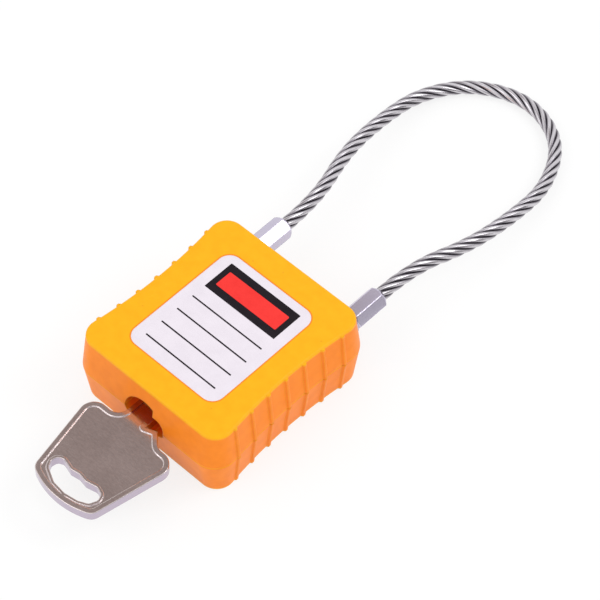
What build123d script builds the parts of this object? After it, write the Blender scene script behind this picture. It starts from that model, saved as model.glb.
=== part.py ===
from build123d import *
import math
import os

# Safety padlock with a wire-rope shackle, built the way it comes apart on a bench.
#
# Frame: the padlock lies on its back. The origin is the centre of the flat back face,
# +X is to the right of the front face, +Y points to the shackle, +Z out of the front
# face. The lock, the shackle and the key all lie in the split plane, halfway up.
# All sizes are in millimetres.

# ---- casing -------------------------------------------------------------------
BODY_DEPTH = 19.0
SPLIT_Z = BODY_DEPTH / 2
FACE_WAIST = 37.0            # width of the front face at mid-height, between its ribs
FACE_WIDTH = 41.0            # width at the corners, before they are rounded
FACE_HEIGHT = 43.6
FACE_CORNER_R = 4.0
FACE_EDGE_R = 0.5
FLARE_X = 1.0                # how far the sides lean out from a face to the split
FLARE_Y = 1.3
CREASE = 0.12                # bevel round the edge where the two shells meet
RIB_COUNT = 7
RIB_MIDDLE = -0.3
RIB_PITCH = 5.26
RIB_HEIGHT = 0.45
RIB_BASE = 1.2
RIB_TOP = 0.55
RIB_STOP = 0.25              # gap between a rib's end and the face
LABEL_SIZE = (25.2, 30.6)
LABEL_CORNER_R = 2.9
LABEL_CENTRE = (0.2, -0.2)
LABEL_THICK = 0.3
LABEL_RECESS = 0.35
DOWEL_R = 1.0
DOWEL_LENGTH = 7.0
DOWEL_PLACES = [(-17.2, -19.4), (17.2, -19.4), (-18.5, 18.6), (18.5, 18.6)]
CORE_CELLS = 3
CORE_FLOOR = 2.0             # plastic left behind a cored-out cell

# ---- lock cylinder, on the axis x = 0 in the split plane -----------------------
MOUTH_R = 5.3                # round lobe of the mouth in the casing
MOUTH_FLAT_X = 2.5           # where the round lobe is cut off for the pin chamber's lobe
MOUTH_SLOT_HALF = 2.65
MOUTH_SLOT_END = 5.7
MOUTH_SLOT_R = 2.2
HOUSING_R = 5.15
HOUSING_FRONT = -19.0
HOUSING_BACK = 5.0
CHAMBER_HALF = 2.5
CHAMBER_END = 10.6
COVER_THICK = 0.7
PLUG_R = 4.0
PLUG_HEAD_R = 4.7
PLUG_HEAD_DEPTH = 1.2
PLUG_BACK = 6.4
TONGUE = (5.0, 1.6, 2.1)     # width, thickness and length of the plug's drive tongue
RUN = 0.05                   # radial running clearance of what turns or slides
CLIP_R = 5.1
CLIP_GROOVE_R = 3.3
CLIP_THICK = 0.6
KEYWAY_BACK = -4.2
KEYWAY_TOP = 2.5
KEYWAY_THICK = 2.2

# ---- pins and springs ----------------------------------------------------------
PIN_COUNT = 6
PIN_PITCH = 3.1
PIN_FIRST_Y = -15.5
PIN_R = 1.1
PIN_HOLE_R = 1.2
KEY_PIN_TOP = 3.82
DRIVER_BOTTOM = 4.12
DRIVER_LENGTH = 2.9
PIN_SPRING_R = 0.9
PIN_SPRING_WIRE_R = 0.16
PIN_SPRING_TURNS = 4

# ---- key -----------------------------------------------------------------------
KEY_THICK = 2.0
BLADE_BACK = -3.4
BLADE_TOP = 2.4
BLADE_TIP_Y = 2.0
FIRST_CUT_X = 1.9
CUT_STEP = 0.35
CUT_FLAT = 1.2
WARD = (-2.4, -1.2, 0.5)     # low edge, high edge and depth of the groove in the blade
SHOULDER_Y = -24.7           # where the shoulder starts at the blade
SHOULDER_TIP = (4.9, -23.7)
NECK_RIGHT = 7.9             # where the shoulder's slope meets the bow
NECK_R = 2.6
BOW_X = 1.2                  # the bow sits off the blade's centre
BOW_TOP_Y = -26.6
BOW_TOP_HALF = 12.6          # half widths at the corners, before they are rounded
BOW_LOW_HALF = 8.5
BOW_LOW_Y = -46.7
BOW_END_Y = -48.7
BOW_TOP_R = 3.2
BOW_LOW_R = 2.4
BORDER = 1.15                # raised border round the bow
SLOT_BORDER = 0.6            # raised border round its slot
BORDER_RISE = 0.2
BORDER_END_Y = -24.0         # the border fades out where the blade begins
BORDER_ROUND = 0.12
SLOT_POINTS = [              # from the bow's middle line, round the slot
    (-6.0, -44.9), (-6.75, -43.5), (-6.45, -42.1), (-5.2, -41.5), (-4.0, -41.8), (-2.4, -42.25),
    (-0.3, -41.85), (1.9, -42.2), (4.5, -41.55), (6.3, -42.15), (6.9, -43.6), (6.1, -45.4),
    (4.0, -46.4), (0.8, -46.95), (-2.6, -46.6),
]
SLOT_R = 1.0

# ---- shackle -------------------------------------------------------------------
STUD_X = 13.75
STUD_R = 2.8
HEX_FLATS = 4.8
HEX_START = 24.2
HEX_END = 33.5
HEX_BEVEL = 0.75             # the cone that takes the corners off both of its ends
TOE_END = 12.2
HEEL_END = -0.5
HEEL_BORE_END = -15.0
ROPE_DIAMETER = 3.0
ROPE_ROUTE = [
    (-13.75, 33.5, 9.5), (-13.75, 43.5, 9.5), (-19.6, 59.5, 7.3), (-21.5, 74.0, 4.9),
    (-21.5, 86.8, 2.6), (-15.1, 98.0, 1.7), (-2.7, 103.3, 1.6), (10.1, 98.5, 1.8),
    (17.0, 85.8, 2.6), (18.1, 72.3, 4.9), (17.5, 58.4, 7.2), (13.75, 44.0, 9.5),
    (13.75, 33.5, 9.5),
]
SHACKLE_LIFT = 11.5

# ---- locking parts ---------------------------------------------------------------
BALL_R = 3.175
BALL_Y = 16.5
BALL_BITE = 2.0              # how deep a locked ball sits in its stud
BALL_TRAVEL = 1.4            # how far a ball moves in while the key turns
BALL_X = STUD_X - STUD_R + BALL_BITE - BALL_R
BALL_PLAY = 0.12
FRAME_HALF_X = 9.9
FRAME_HALF_Z = 7.45
FRAME_FRONT = 9.6
FRAME_BACK = 20.7
CAM_PLATE_FRONT = 8.0
CAM_POCKET_R = 6.6
CAM_POCKET_BACK = 18.5
CAM_R = 6.4
CAM_FRONT = 14.7
CAM_BACK = 18.3
CAM_SHAFT_R = 3.0
CAM_JOURNAL_R = 2.5
SCREW_PLACE = (8.2, 5.7)     # from the lock's axis, in X and in Z
SCREW_R = 0.8
SCREW_HEAD_R = 1.5
SCREW_HEAD = 1.0
SCREW_LENGTH = 6.5
SHACKLE_SPRING_R = 2.2
SHACKLE_SPRING_WIRE_R = 0.4
SHACKLE_SPRING_TURNS = 6


# ---- helpers -----------------------------------------------------------------------
def along_y(profile, y_low, y_high, x=0.0):
    """Extrude a profile, drawn about a line along Y in the split plane."""
    plane = Plane((x, y_high, SPLIT_Z), x_dir=(1, 0, 0), z_dir=(0, -1, 0))
    return extrude(plane * profile, y_high - y_low)


def block(low, high):
    """A box between two corners."""
    centre = [(a + b) / 2 for a, b in zip(low, high)]
    return Pos(*centre) * Box(*[b - a for a, b in zip(low, high)])


def rod_x(radius, x_low, x_high, y, z=SPLIT_Z):
    """A round rod along X."""
    middle = Pos((x_low + x_high) / 2, y, z)
    return middle * Rot(0, 90, 0) * Cylinder(radius, x_high - x_low)


def pin_places():
    """The Y of each pin, from the front of the lock to its back."""
    return [PIN_FIRST_Y + PIN_PITCH * k for k in range(PIN_COUNT)]


# ---- casing --------------------------------------------------------------------------
def casing_outline(waist, width, height, corner):
    """A rounded rectangle whose left and right sides curve in to a waist."""
    top = Line((-width / 2, height / 2), (width / 2, height / 2))
    right = ThreePointArc((width / 2, height / 2), (waist / 2, 0), (width / 2, -height / 2))
    bottom = Line((width / 2, -height / 2), (-width / 2, -height / 2))
    left = ThreePointArc((-width / 2, -height / 2), (-waist / 2, 0), (-width / 2, height / 2))
    outline = make_face([top, right, bottom, left])
    return fillet(outline.vertices(), corner)


def side_x(y):
    """Where the waisted side lies in the split plane, at a height along Y."""
    half_height = FACE_HEIGHT / 2 + FLARE_Y
    sag = (FACE_WIDTH - FACE_WAIST) / 2
    radius = (half_height**2 + sag**2) / (2 * sag)
    return FACE_WAIST / 2 + FLARE_X + radius - math.sqrt(radius**2 - y**2)


def side_rib(y):
    """One grip rib of the front half: a small wedge that leans in with the side."""
    root = side_x(y) - 0.7
    skin = side_x(y)
    crest = skin + RIB_HEIGHT
    profile = make_face(Polyline(
        (root, y - RIB_BASE / 2), (skin, y - RIB_BASE / 2), (crest, y - RIB_TOP / 2),
        (crest, y + RIB_TOP / 2), (skin, y + RIB_BASE / 2), (root, y + RIB_BASE / 2),
        close=True))
    rise = SPLIT_Z - CREASE - RIB_STOP
    lean = FLARE_X * rise / SPLIT_Z
    slope = Vector(-lean, 0, rise)
    start = Pos(0, 0, SPLIT_Z + CREASE)
    return extrude(start * profile, slope.length, dir=slope.normalized())


def casing_section(z, grow_x, grow_y):
    """The casing's outline at one height, grown from the front face's outline."""
    outline = casing_outline(FACE_WAIST + 2 * grow_x, FACE_WIDTH + 2 * grow_x,
                             FACE_HEIGHT + 2 * grow_y, FACE_CORNER_R + grow_x)
    return Pos(0, 0, z) * outline


def casing_half():
    """The front half of the casing before anything is cut out of it."""
    half = loft([casing_section(SPLIT_Z, FLARE_X - CREASE, FLARE_Y - CREASE),
                 casing_section(SPLIT_Z + CREASE, FLARE_X, FLARE_Y),
                 casing_section(BODY_DEPTH, 0, 0)], ruled=True)
    half = fillet(half.faces().sort_by(Axis.Z)[-1].edges(), FACE_EDGE_R)
    for step in range(RIB_COUNT):
        rib = side_rib(RIB_MIDDLE + RIB_PITCH * (step - (RIB_COUNT - 1) / 2))
        half += rib
        half += mirror(rib, about=Plane.YZ)
    return half


def mouth_profile():
    """The mouth for the lock: a round lobe cut flat, and a narrower lobe for the pins."""
    flat = Pos(MOUTH_FLAT_X - MOUTH_R, 0) * Rectangle(2 * MOUTH_R, 2 * MOUTH_R)
    slot = Rectangle(MOUTH_SLOT_END, 2 * MOUTH_SLOT_HALF)
    end = slot.vertices().group_by(Axis.X)[-1]
    slot = Pos(MOUTH_SLOT_END / 2, 0) * fillet(end, MOUTH_SLOT_R)
    return (Circle(MOUTH_R) & flat) + slot


def core_cells(x_low, x_high, y_low, y_high):
    """Cored-out cells that keep the moulding's walls even, with webs between them."""
    pitch = (y_high - y_low) / CORE_CELLS
    web = 1.2
    cells = []
    for step in range(CORE_CELLS):
        start = y_low + pitch * step
        cells.append(block((x_low, start, CORE_FLOOR),
                           (x_high, start + pitch - web, BODY_DEPTH - CORE_FLOOR)))
    return cells


def casing_pockets():
    """Everything that the two shells are cut out for, in both halves at once."""
    half_height = FACE_HEIGHT / 2 + FLARE_Y
    pockets = [
        along_y(mouth_profile(), -half_height - 1, HOUSING_FRONT),
        along_y(Circle(HOUSING_R + RUN), HOUSING_FRONT, HOUSING_BACK),
        block((0, HOUSING_FRONT, SPLIT_Z - CHAMBER_HALF - RUN),
              (CHAMBER_END + COVER_THICK + RUN, HOUSING_BACK + RUN, SPLIT_Z + CHAMBER_HALF + RUN)),
        along_y(Circle(CLIP_R + 0.4), HOUSING_BACK, CAM_PLATE_FRONT),
        block((-FRAME_HALF_X - RUN, CAM_PLATE_FRONT - SCREW_HEAD - RUN, SPLIT_Z - FRAME_HALF_Z - RUN),
              (FRAME_HALF_X + RUN, FRAME_BACK + RUN, SPLIT_Z + FRAME_HALF_Z + RUN)),
        along_y(Circle(STUD_R + RUN), TOE_END - 0.4, half_height + 1, STUD_X),
        along_y(Circle(STUD_R + RUN), HEEL_BORE_END, half_height + 1, -STUD_X),
        rod_x(BALL_R + BALL_PLAY, -STUD_X, -FRAME_HALF_X, BALL_Y),
        rod_x(BALL_R + BALL_PLAY, FRAME_HALF_X, STUD_X, BALL_Y),
    ]
    for x, y in DOWEL_PLACES:
        pockets.append(Pos(x, y, SPLIT_Z) * Cylinder(DOWEL_R, DOWEL_LENGTH))
    pockets += core_cells(-9.8, -6.4, -17.5, 6.0)
    pockets += core_cells(12.6, 16.4, -17.5, 9.5)
    return pockets


def label_blank(thickness, top):
    """The label's rounded rectangle as a thin plate with its top at a given height."""
    outline = RectangleRounded(*LABEL_SIZE, LABEL_CORNER_R)
    return extrude(Pos(*LABEL_CENTRE, top - thickness) * outline, thickness)


def front_shell():
    """Front half of the casing, with its ribs, pockets and label recess."""
    shell = casing_half()
    for pocket in casing_pockets():
        shell -= pocket
    return shell - label_blank(LABEL_RECESS, BODY_DEPTH)


def back_shell():
    """Back half of the casing: the same moulding, with a plain flat back."""
    shell = mirror(casing_half(), about=Plane.XY.offset(SPLIT_Z))
    for pocket in casing_pockets():
        shell -= pocket
    return shell


def front_label():
    """Printed label that lies in the front recess."""
    return label_blank(LABEL_THICK, BODY_DEPTH - LABEL_RECESS + LABEL_THICK)


def dowel_pins():
    """Four steel dowels that locate and hold the two shells together."""
    return [Pos(x, y, SPLIT_Z) * Cylinder(DOWEL_R, DOWEL_LENGTH) for x, y in DOWEL_PLACES]


# ---- lock cylinder -----------------------------------------------------------------------
def cylinder_housing():
    """Fixed housing: a round barrel for the plug and a pin chamber on its +X side."""
    chamber = block((0, HOUSING_FRONT, SPLIT_Z - CHAMBER_HALF),
                    (CHAMBER_END, HOUSING_BACK, SPLIT_Z + CHAMBER_HALF))
    body = along_y(Circle(HOUSING_R), HOUSING_FRONT, HOUSING_BACK) + chamber
    body -= along_y(Circle(PLUG_R + RUN), HOUSING_FRONT, HOUSING_BACK)
    body -= along_y(Circle(PLUG_HEAD_R + RUN), HOUSING_FRONT,
                    HOUSING_FRONT + PLUG_HEAD_DEPTH + RUN)
    for y in pin_places():
        body -= rod_x(PIN_HOLE_R, PLUG_R / 2, CHAMBER_END, y)
    return body


def keyway_profile():
    """The slot in the plug, open at the back, with the ward that fits the blade's groove."""
    low, high, depth = WARD
    slot = Pos((KEYWAY_BACK + KEYWAY_TOP) / 2, 0) * Rectangle(KEYWAY_TOP - KEYWAY_BACK, KEYWAY_THICK)
    ward_height = KEYWAY_THICK / 2 - KEY_THICK / 2 + depth - 0.1
    ward = Pos((low + high) / 2, KEYWAY_THICK / 2 - ward_height / 2) * Rectangle(
        high - low - 0.2, ward_height)
    return slot - ward


def cylinder_plug():
    """Plug that the key turns, with its head, clip groove and drive tongue."""
    width, thickness, length = TONGUE
    plug = along_y(Circle(PLUG_R), HOUSING_FRONT, PLUG_BACK)
    plug += along_y(Circle(PLUG_HEAD_R), HOUSING_FRONT, HOUSING_FRONT + PLUG_HEAD_DEPTH)
    plug += along_y(Rectangle(width, thickness), PLUG_BACK, PLUG_BACK + length)
    ring = Circle(PLUG_R + 1) - Circle(CLIP_GROOVE_R)
    plug -= along_y(ring, HOUSING_BACK + RUN, HOUSING_BACK + RUN + CLIP_THICK + 0.05)
    plug -= along_y(keyway_profile(), HOUSING_FRONT, BLADE_TIP_Y + 0.4)
    for y in pin_places():
        plug -= rod_x(PIN_HOLE_R, 0, PLUG_R + 1, y)
    return plug


def plug_clip():
    """Open spring clip that keeps the plug in its housing."""
    ring = Circle(CLIP_R) - Circle(CLIP_GROOVE_R + 0.02)
    gap = Pos(0, -CLIP_R) * Rectangle(4.4, 2 * CLIP_R)
    return along_y(ring - gap, HOUSING_BACK + RUN + 0.02, HOUSING_BACK + RUN + CLIP_THICK)


def cut_height(step):
    """How high the key is cut under one pin: lower and lower towards the tip."""
    return FIRST_CUT_X - CUT_STEP * step


def key_pins():
    """Six key pins of different lengths, with coned ends that stand on the cuts."""
    pins = []
    for step, y in enumerate(pin_places()):
        foot = cut_height(step) + 0.08
        cone = 0.6
        stem = rod_x(PIN_R, foot + cone, KEY_PIN_TOP, y)
        tip = Pos(foot + cone / 2, y, SPLIT_Z) * Rot(0, 90, 0) * Cone(PIN_R - cone, PIN_R, cone)
        pins.append(stem + tip)
    return pins


def driver_pins():
    """Six equal driver pins that wait in the chamber, just clear of the plug."""
    return [rod_x(PIN_R, DRIVER_BOTTOM, DRIVER_BOTTOM + DRIVER_LENGTH, y) for y in pin_places()]


def coil(radius, wire, length, turns):
    """A coil spring along +Z from the origin, with a six-sided wire to keep its mesh light."""
    line = Helix(pitch=length / turns, height=length, radius=radius)
    section = Plane(line @ 0, z_dir=line % 0) * RegularPolygon(wire, 6)
    return sweep(section, path=line, is_frenet=True)


def pin_springs():
    """Six small coil springs, one behind each driver pin."""
    start = DRIVER_BOTTOM + DRIVER_LENGTH + PIN_SPRING_WIRE_R
    length = CHAMBER_END - start - PIN_SPRING_WIRE_R
    spring = Rot(0, 90, 0) * coil(PIN_SPRING_R, PIN_SPRING_WIRE_R, length, PIN_SPRING_TURNS)
    return [Pos(start, y, SPLIT_Z) * spring for y in pin_places()]


def chamber_cover():
    """Strip that closes the pin chamber over its springs."""
    return block((CHAMBER_END, HOUSING_FRONT + 0.6, SPLIT_Z - CHAMBER_HALF),
                 (CHAMBER_END + COVER_THICK, HOUSING_BACK, SPLIT_Z + CHAMBER_HALF))


# ---- locking parts -----------------------------------------------------------------------
def polar(radius, degrees):
    """A point of a profile at an angle from +X towards +Z."""
    return radius * math.cos(math.radians(degrees)), radius * math.sin(math.radians(degrees))


def cam_profile():
    """Two lobes that fall away evenly, so each ball moves in as far as the key turns."""
    fall = BALL_TRAVEL / 90
    spiral_end = 112
    rise_end = 155
    edges = []
    for turn in (0, 180):
        angles = range(0, spiral_end + 1, 16)
        spiral = Spline(*[polar(CAM_R - fall * a, turn + a) for a in angles])
        ramp = Line(spiral @ 1, polar(CAM_R, turn + rise_end))
        nose = CenterArc((0, 0), CAM_R, turn + rise_end, 180 - rise_end)
        edges += [spiral, ramp, nose]
    return make_face(edges)


def locking_cam():
    """Cam that the plug's tongue drives, with its shaft and its journal."""
    width, thickness, length = TONGUE
    start = PLUG_BACK + 0.1
    cam = along_y(cam_profile(), CAM_FRONT, CAM_BACK)
    cam += along_y(Circle(CAM_SHAFT_R), start, CAM_FRONT)
    cam += along_y(Circle(CAM_JOURNAL_R), CAM_BACK, FRAME_BACK - 0.1)
    return cam - along_y(Rectangle(2 * CAM_SHAFT_R, thickness + 0.1), start, PLUG_BACK + length + 0.1)


def screw_places():
    """The four corners where the cam plate is screwed to the frame."""
    x, z = SCREW_PLACE
    return [(sx * x, sz * z) for sx in (-1, 1) for sz in (-1, 1)]


def frame_block(front, back):
    """A slab of the lock frame's outline with broken edges."""
    outline = Rectangle(2 * FRAME_HALF_X, 2 * FRAME_HALF_Z)
    return along_y(chamfer(outline.vertices(), 1.0), front, back)


def lock_frame():
    """Die-cast frame that carries the cam and guides the two balls."""
    frame = frame_block(FRAME_FRONT, FRAME_BACK)
    frame -= along_y(Circle(CAM_POCKET_R), FRAME_FRONT, CAM_POCKET_BACK)
    frame -= along_y(Circle(CAM_JOURNAL_R + RUN), CAM_POCKET_BACK, FRAME_BACK)
    frame -= rod_x(BALL_R + RUN, -FRAME_HALF_X, FRAME_HALF_X, BALL_Y)
    for x, z in screw_places():
        hole = along_y(Circle(SCREW_R), FRAME_FRONT, CAM_PLATE_FRONT + SCREW_LENGTH, x)
        frame -= Pos(0, 0, z) * hole
    return frame


def cam_plate():
    """Plate that closes the frame and carries the cam's shaft."""
    plate = frame_block(CAM_PLATE_FRONT, FRAME_FRONT)
    plate -= along_y(Circle(CAM_SHAFT_R + RUN), CAM_PLATE_FRONT, FRAME_FRONT)
    for x, z in screw_places():
        plate -= Pos(0, 0, z) * along_y(Circle(SCREW_R), CAM_PLATE_FRONT, FRAME_FRONT, x)
    return plate


def frame_screws():
    """Four screws that hold the cam plate on the frame."""
    screws = []
    for x, z in screw_places():
        head = along_y(Circle(SCREW_HEAD_R), CAM_PLATE_FRONT - SCREW_HEAD, CAM_PLATE_FRONT, x)
        shank = along_y(Circle(SCREW_R), CAM_PLATE_FRONT, CAM_PLATE_FRONT + SCREW_LENGTH, x)
        screws.append(Pos(0, 0, z) * (head + shank))
    return screws


def locking_ball(side):
    """One steel locking ball, where the cam holds it in its stud."""
    return Pos(side * BALL_X, BALL_Y, SPLIT_Z) * Sphere(BALL_R)


def ball_groove(side):
    """The channel a ball leaves in its stud while the shackle rises and the ball moves in."""
    radius = BALL_R + BALL_PLAY
    locked = Vector(side * BALL_X, BALL_Y, SPLIT_Z)
    freed = Vector(side * (BALL_X - BALL_TRAVEL), BALL_Y - SHACKLE_LIFT, SPLIT_Z)
    travel = freed - locked
    channel = extrude(Plane(locked, z_dir=travel) * Circle(radius), travel.length)
    return channel + Pos(*locked) * Sphere(radius) + Pos(*freed) * Sphere(radius)


# ---- shackle -------------------------------------------------------------------------------
def stud(side, end, hex_turn):
    """Steel stud: a round grooved shank, and a hexagon crimped on the rope's end."""
    x = side * STUD_X
    shank = along_y(Circle(STUD_R), end, HEX_START, x)
    shank = chamfer(shank.faces().sort_by(Axis.Y)[0].edges(), 0.5)
    hexagon = Rot(0, 0, hex_turn) * RegularPolygon(HEX_FLATS / 2, 6, major_radius=False)
    barrel = along_y(hexagon, HEX_START, HEX_END, x)
    cone = along_y(Circle(HEX_FLATS / math.sqrt(3)), HEX_START, HEX_END, x)
    barrel &= chamfer(cone.edges().filter_by(GeomType.CIRCLE), HEX_BEVEL)
    return shank + barrel - ball_groove(side)


def rope_radii():
    """The bend radius at each inner point of the route: as large as its two runs allow."""
    points = [Vector(*p) for p in ROPE_ROUTE]
    radii = []
    for before, corner, after in zip(points, points[1:], points[2:]):
        run_in = corner - before
        run_out = after - corner
        half_turn = math.radians(run_in.get_angle(run_out)) / 2
        radii.append(0.45 * min(run_in.length, run_out.length) / math.tan(half_turn))
    return radii


def wire_rope():
    """The rope between the two studs, as one plain tube."""
    radii = rope_radii()
    route = FilletPolyline(*ROPE_ROUTE, radius=radii)
    start = Plane(route @ 0, z_dir=route % 0)
    rope = sweep(start * Circle(ROPE_DIAMETER / 2), path=route)
    section = math.pi * (ROPE_DIAMETER / 2)**2
    print("rope bend radii", [round(r, 1) for r in radii])
    print("rope length", round(route.length, 2), "volume over section times length",
          round(rope.volume / (section * route.length), 4))
    return rope


def shackle_spring():
    """Spring under the heel stud that lifts the shackle when it is unlocked."""
    length = HEEL_END - HEEL_BORE_END - 2 * SHACKLE_SPRING_WIRE_R
    spring = coil(SHACKLE_SPRING_R, SHACKLE_SPRING_WIRE_R, length, SHACKLE_SPRING_TURNS)
    foot = Pos(-STUD_X, HEEL_BORE_END + SHACKLE_SPRING_WIRE_R, SPLIT_Z)
    return foot * Rot(-90, 0, 0) * spring


# ---- key -----------------------------------------------------------------------------------
def bow_outline():
    """The bow: widest at the shoulder, tapering to an end with a shallow arc."""
    left, right = BOW_X - BOW_TOP_HALF, BOW_X + BOW_TOP_HALF
    low_left, low_right = BOW_X - BOW_LOW_HALF, BOW_X + BOW_LOW_HALF
    edges = [
        Line((left, BOW_TOP_Y), (right, BOW_TOP_Y)),
        Line((right, BOW_TOP_Y), (low_right, BOW_LOW_Y)),
        ThreePointArc((low_right, BOW_LOW_Y), (BOW_X, BOW_END_Y), (low_left, BOW_LOW_Y)),
        Line((low_left, BOW_LOW_Y), (left, BOW_TOP_Y)),
    ]
    bow = make_face(edges)
    corners = bow.vertices().sort_by(Axis.Y)
    bow = fillet(corners[2:], BOW_TOP_R)
    return fillet([v for v in bow.vertices() if abs(v.Y - BOW_LOW_Y) < 0.01], BOW_LOW_R)


def finger_slot():
    """The slot for a ring, with its shallow waves on the blade's side."""
    slot = make_face(Polyline(*[(BOW_X + x, y) for x, y in SLOT_POINTS], close=True))
    return fillet(slot.vertices(), SLOT_R)


def key_outline(blade_end, cuts):
    """Bow, neck and blade as one outline; the blade's far end is a list of points."""
    edge = [(BLADE_BACK, BOW_TOP_Y - 1), (BLADE_BACK, blade_end)] + cuts
    edge += [(BLADE_TOP, SHOULDER_Y), SHOULDER_TIP,
             (NECK_RIGHT, BOW_TOP_Y), (NECK_RIGHT, BOW_TOP_Y - 1)]
    outline = bow_outline() + make_face(Polyline(*edge, close=True))
    inner = [v for v in outline.vertices() if abs(v.Y - BOW_TOP_Y) < 0.01 and
             (abs(v.X - BLADE_BACK) < 0.01 or abs(v.X - NECK_RIGHT) < 0.01)]
    return fillet(inner, NECK_R)


def blade_cuts():
    """The blade's edge from its tip back to its first cut: steps that rise to the bow."""
    edge = [(-2.4, BLADE_TIP_Y), (-1.2, BLADE_TIP_Y)]
    for step, y in reversed(list(enumerate(pin_places()))):
        edge.append((cut_height(step), y + CUT_FLAT / 2))
        edge.append((cut_height(step), y - CUT_FLAT / 2))
    return edge + [(BLADE_TOP, PIN_FIRST_Y - PIN_PITCH / 2)]


def key():
    """The key: a flat bow with a raised border and a slot, and a grooved, cut blade."""
    thick = KEY_THICK + 2 * BORDER_RISE
    low = SPLIT_Z - thick / 2
    outline = key_outline(BLADE_TIP_Y - 1.4, blade_cuts()) - finger_slot()
    blank = extrude(Pos(0, 0, low) * outline, thick)
    rims = [e for e in blank.edges().filter_by_position(Axis.Y, -60, BORDER_END_Y)
            if abs(abs(e.center().Z - SPLIT_Z) - thick / 2) < 0.01]
    blank = fillet(rims, BORDER_ROUND)
    panel = offset(key_outline(0, [(BLADE_TOP, 0)]), -BORDER)
    panel -= offset(finger_slot(), SLOT_BORDER)
    panel += Pos(0, BORDER_END_Y + 20) * Rectangle(30, 40)
    for z in (low, low + thick - BORDER_RISE):
        blank -= extrude(Pos(0, 0, z) * panel, BORDER_RISE)
    edge, far_edge, depth = WARD
    groove = block((edge, BORDER_END_Y, SPLIT_Z + KEY_THICK / 2 - depth),
                   (far_edge, BLADE_TIP_Y, SPLIT_Z + KEY_THICK / 2))
    return blank - groove


# ---- assembly ------------------------------------------------------------------------------
PIECES = {
    "front_shell": front_shell(),
    "back_shell": back_shell(),
    "front_label": front_label(),
    "dowel_pins": dowel_pins(),
    "lock_frame": lock_frame(),
    "cam_plate": cam_plate(),
    "frame_screws": frame_screws(),
    "locking_cam": locking_cam(),
    "left_locking_ball": locking_ball(-1),
    "right_locking_ball": locking_ball(1),
    "cylinder_housing": cylinder_housing(),
    "cylinder_plug": cylinder_plug(),
    "plug_clip": plug_clip(),
    "key_pins": key_pins(),
    "driver_pins": driver_pins(),
    "pin_springs": pin_springs(),
    "chamber_cover": chamber_cover(),
    "heel_stud": stud(-1, HEEL_END, 30),
    "toe_stud": stud(1, TOE_END, 0),
    "wire_rope": wire_rope(),
    "shackle_spring": shackle_spring(),
    "key": key(),
}

os.makedirs("parts", exist_ok=True)
for name, piece in PIECES.items():
    if isinstance(piece, list):
        piece = Compound(children=piece)
    export_step(piece, f"parts/{name}.step")
print(len(PIECES), "nodes written")
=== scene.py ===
# %% [markdown]
# # A safety padlock with a wire-rope shackle
#
# The padlock lies on its back: a moulded orange-yellow casing with a printed label, a
# shackle made of wire rope that is crimped into two steel studs, and a key in the lock.
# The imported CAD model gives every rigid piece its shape, so this script adds what CAD
# leaves plain: the strands of the rope, the print on the label, and all the finishes.

import math

import bmesh
import bpy
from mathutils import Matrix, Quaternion, Vector


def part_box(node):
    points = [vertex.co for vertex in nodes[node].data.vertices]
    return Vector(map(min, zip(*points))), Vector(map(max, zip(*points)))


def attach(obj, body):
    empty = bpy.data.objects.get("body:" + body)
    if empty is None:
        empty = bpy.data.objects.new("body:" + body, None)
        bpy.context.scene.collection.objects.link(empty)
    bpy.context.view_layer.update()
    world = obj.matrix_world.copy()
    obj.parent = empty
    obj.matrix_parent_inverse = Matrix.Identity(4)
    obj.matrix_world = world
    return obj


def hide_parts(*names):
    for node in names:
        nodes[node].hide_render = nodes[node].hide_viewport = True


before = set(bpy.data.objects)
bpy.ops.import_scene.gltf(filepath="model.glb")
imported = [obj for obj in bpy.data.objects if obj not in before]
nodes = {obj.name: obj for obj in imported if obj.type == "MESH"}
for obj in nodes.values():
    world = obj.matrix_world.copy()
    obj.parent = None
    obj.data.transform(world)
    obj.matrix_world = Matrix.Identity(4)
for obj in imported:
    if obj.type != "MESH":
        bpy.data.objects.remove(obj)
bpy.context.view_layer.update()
MM = 0.001

# %% [markdown]
# ## The camera
#
# A product picture of something this small is taken from some way off with a long lens,
# so that its edges stay nearly parallel. The camera could be aimed with a Track To
# constraint, but three angles and a distance say plainly how it stands: how far round,
# how high, how much it leans, and how far away.

# %% Place the camera
CAMERA_AROUND = 42.415
CAMERA_HEIGHT = 53.229
CAMERA_ROLL = 1.098
CAMERA_DISTANCE = 552.08 * MM
CAMERA_TARGET = Vector((2.49, 21.06, 9.70)) * MM


def direction(around, height):
    """A unit vector that points away from the padlock; around 0 is towards -Y."""
    a, h = math.radians(around), math.radians(height)
    return Vector((math.sin(a) * math.cos(h), -math.cos(a) * math.cos(h), math.sin(h)))


camera_data = bpy.data.cameras.new("camera")
camera_data.lens = 156.8
camera_data.sensor_width = 36.0
camera_data.clip_start = 0.01
camera = bpy.data.objects.new("camera", camera_data)
bpy.context.scene.collection.objects.link(camera)
towards_camera = direction(CAMERA_AROUND, CAMERA_HEIGHT)
camera.location = CAMERA_TARGET + towards_camera * CAMERA_DISTANCE
camera.rotation_mode = "QUATERNION"
camera.rotation_quaternion = (towards_camera.to_track_quat("Z", "Y")
                              @ Quaternion((0, 0, 1), math.radians(CAMERA_ROLL)))
bpy.context.scene.camera = camera
print("camera at", [round(v, 4) for v in camera.location])
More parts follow.
